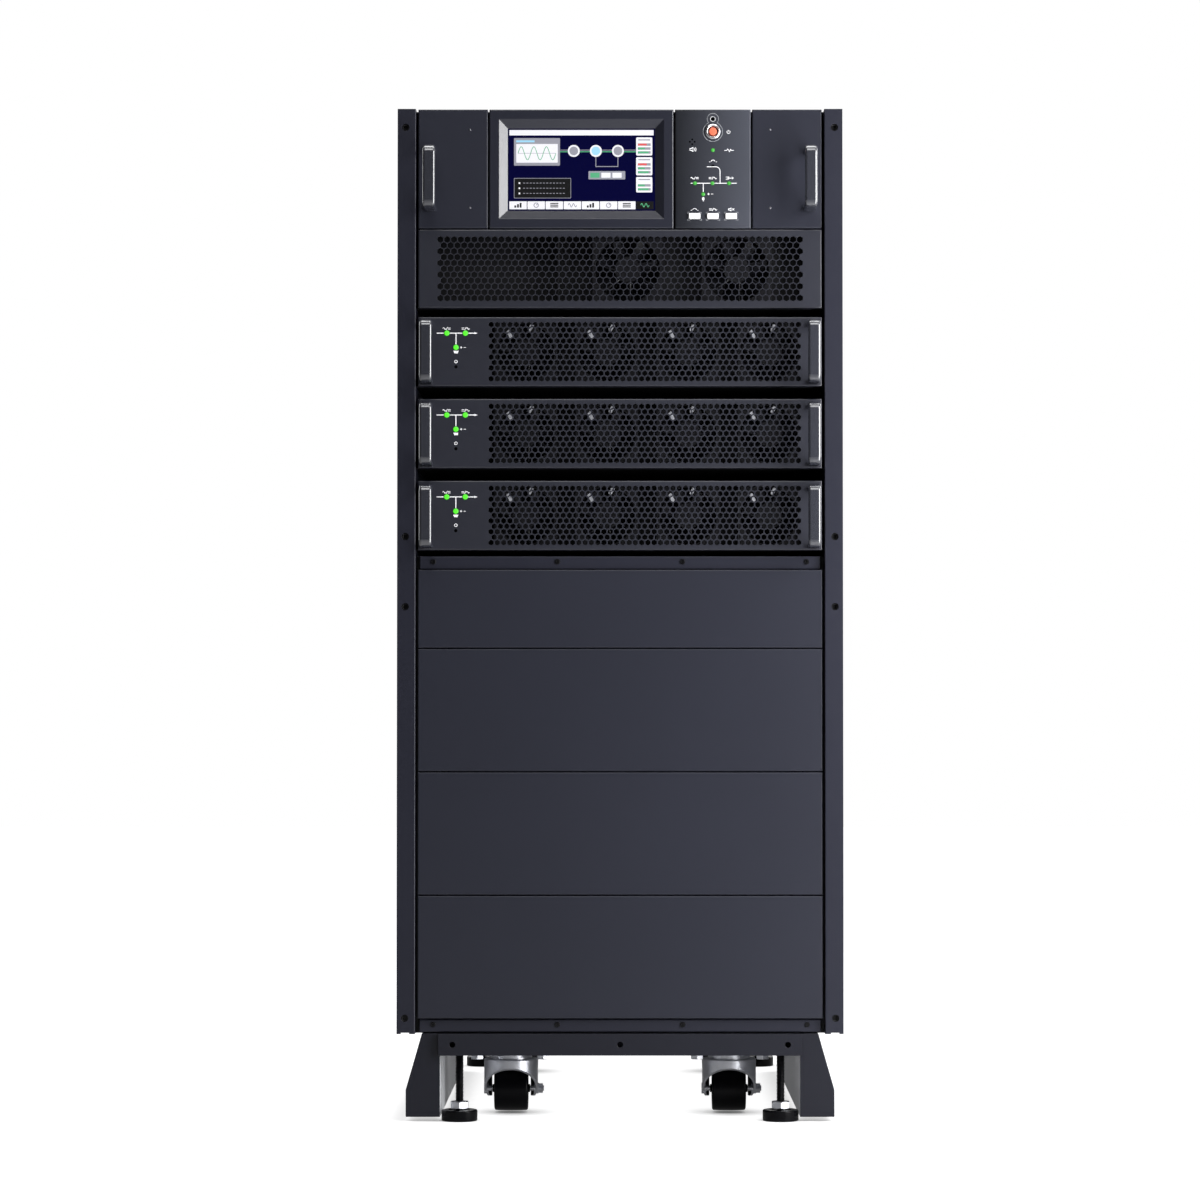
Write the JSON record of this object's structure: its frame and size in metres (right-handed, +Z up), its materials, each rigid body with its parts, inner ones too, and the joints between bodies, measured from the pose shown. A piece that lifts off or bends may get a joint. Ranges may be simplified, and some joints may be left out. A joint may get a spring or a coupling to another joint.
{
  "type": "modular ups cabinet",
  "caption": "Charcoal rack cabinet with slide-out power modules over a battery section, on a base with casters and levelling feet.",
  "frame": {"origin": "on the floor under the middle of the overall box", "axes": "+X right seen from the front, +Y towards the back, +Z up"},
  "size_m": [0.4826, 0.788, 1.097],
  "materials": {
    "frame_paint": "fine textured powder coat, charcoal",
    "front_paint": "fine textured powder coat, charcoal",
    "handle_paint": "satin paint, charcoal",
    "inner_steel": "black coated sheet",
    "screen": "glossy screen glass",
    "collar_metal": "bright ring",
    "button_red": "red cap",
    "key_white": "white keys",
    "fan_plastic": "black moulding",
    "foot_black": "black pads and rods",
    "zinc": "zinc plated steel",
    "wheel_black": "black wheel"
  },
  "bodies": {
    "cabinet": {"ups_side_walls": "frame_paint", "ups_top_cover": "frame_paint", "ups_rear_panel": "frame_paint", "ups_shelves": "inner_steel", "ups_floor": "inner_steel", "ups_lower_trim": "frame_paint", "battery_side_walls": "frame_paint", "battery_deck": "inner_steel", "battery_rear_panel": "frame_paint", "battery_floor": "inner_steel", "battery_posts": "inner_steel", "battery_fascia": "front_paint", "battery_covers": "front_paint", "battery_lower_trim": "frame_paint", "base_front_beam": "frame_paint", "base_rear_beam": "frame_paint", "base_frame": "frame_paint", "stabilisers": "frame_paint", "levelling_feet": "foot_black", "caster_plates": "zinc"},
    "bypass_unit": {"bypass_case": "inner_steel", "blank_panels": "front_paint", "bypass_handles": "handle_paint", "display_bezel": "front_paint", "display_glass": "screen", "control_panel": "front_paint", "epo_collar": "collar_metal", "vent_panel": "front_paint", "vent_fans": "fan_plastic"},
    "epo_button": {"epo_button": "button_red"},
    "bypass_key": {"bypass_key": "key_white"},
    "inverter_key": {"inverter_key": "key_white"},
    "mute_key": {"mute_key": "key_white"},
    "module_1": {"module_1_case": "inner_steel", "module_1_front": "front_paint", "module_1_handles": "handle_paint", "module_1_fans": "fan_plastic"},
    "module_2": {"module_2_case": "inner_steel", "module_2_front": "front_paint", "module_2_handles": "handle_paint", "module_2_fans": "fan_plastic"},
    "module_3": {"module_3_case": "inner_steel", "module_3_front": "front_paint", "module_3_handles": "handle_paint", "module_3_fans": "fan_plastic"},
    "caster_fork_front_left": {"caster_fork_front_left": "zinc"},
    "caster_wheel_front_left": {"caster_wheel_front_left": "wheel_black"},
    "caster_fork_front_right": {"caster_fork_front_right": "zinc"},
    "caster_wheel_front_right": {"caster_wheel_front_right": "wheel_black"},
    "caster_fork_rear_left": {"caster_fork_rear_left": "zinc"},
    "caster_wheel_rear_left": {"caster_wheel_rear_left": "wheel_black"},
    "caster_fork_rear_right": {"caster_fork_rear_right": "zinc"},
    "caster_wheel_rear_right": {"caster_wheel_rear_right": "wheel_black"}
  },
  "joints": [
    {"name": "bypass_unit_slide", "type": "slide", "parent": "cabinet", "child": "bypass_unit", "axis": [0, -1, 0], "range_m": [0, 0.6]},
    {"name": "epo_button_press", "type": "slide", "parent": "bypass_unit", "child": "epo_button", "axis": [0, 1, 0], "range_m": [0, 0.002], "stiffness_N_per_m": 800},
    {"name": "bypass_key_press", "type": "slide", "parent": "bypass_unit", "child": "bypass_key", "axis": [0, 1, 0], "range_m": [0, 0.002], "stiffness_N_per_m": 800},
    {"name": "inverter_key_press", "type": "slide", "parent": "bypass_unit", "child": "inverter_key", "axis": [0, 1, 0], "range_m": [0, 0.002], "stiffness_N_per_m": 800},
    {"name": "mute_key_press", "type": "slide", "parent": "bypass_unit", "child": "mute_key", "axis": [0, 1, 0], "range_m": [0, 0.002], "stiffness_N_per_m": 800},
    {"name": "module_1_slide", "type": "slide", "parent": "cabinet", "child": "module_1", "axis": [0, -1, 0], "range_m": [0, 0.6]},
    {"name": "module_2_slide", "type": "slide", "parent": "cabinet", "child": "module_2", "axis": [0, -1, 0], "range_m": [0, 0.6]},
    {"name": "module_3_slide", "type": "slide", "parent": "cabinet", "child": "module_3", "axis": [0, -1, 0], "range_m": [0, 0.6]},
    {"name": "caster_swivel_front_left", "type": "hinge", "parent": "cabinet", "child": "caster_fork_front_left", "pos_m": [-0.1204, -0.258, 0.061], "axis": [0, 0, 1], "continuous": true},
    {"name": "caster_roll_front_left", "type": "hinge", "parent": "caster_fork_front_left", "child": "caster_wheel_front_left", "pos_m": [-0.1204, -0.247, 0.0265], "axis": [1, 0, 0], "continuous": true},
    {"name": "caster_swivel_front_right", "type": "hinge", "parent": "cabinet", "child": "caster_fork_front_right", "pos_m": [0.1204, -0.258, 0.061], "axis": [0, 0, 1], "continuous": true},
    {"name": "caster_roll_front_right", "type": "hinge", "parent": "caster_fork_front_right", "child": "caster_wheel_front_right", "pos_m": [0.1204, -0.247, 0.0265], "axis": [1, 0, 0], "continuous": true},
    {"name": "caster_swivel_rear_left", "type": "hinge", "parent": "cabinet", "child": "caster_fork_rear_left", "pos_m": [-0.1204, 0.24, 0.061], "axis": [0, 0, 1], "continuous": true},
    {"name": "caster_roll_rear_left", "type": "hinge", "parent": "caster_fork_rear_left", "child": "caster_wheel_rear_left", "pos_m": [-0.1204, 0.251, 0.0265], "axis": [1, 0, 0], "continuous": true},
    {"name": "caster_swivel_rear_right", "type": "hinge", "parent": "cabinet", "child": "caster_fork_rear_right", "pos_m": [0.1204, 0.24, 0.061], "axis": [0, 0, 1], "continuous": true},
    {"name": "caster_roll_rear_right", "type": "hinge", "parent": "caster_fork_rear_right", "child": "caster_wheel_rear_right", "pos_m": [0.1204, 0.251, 0.0265], "axis": [1, 0, 0], "continuous": true}
  ]
}
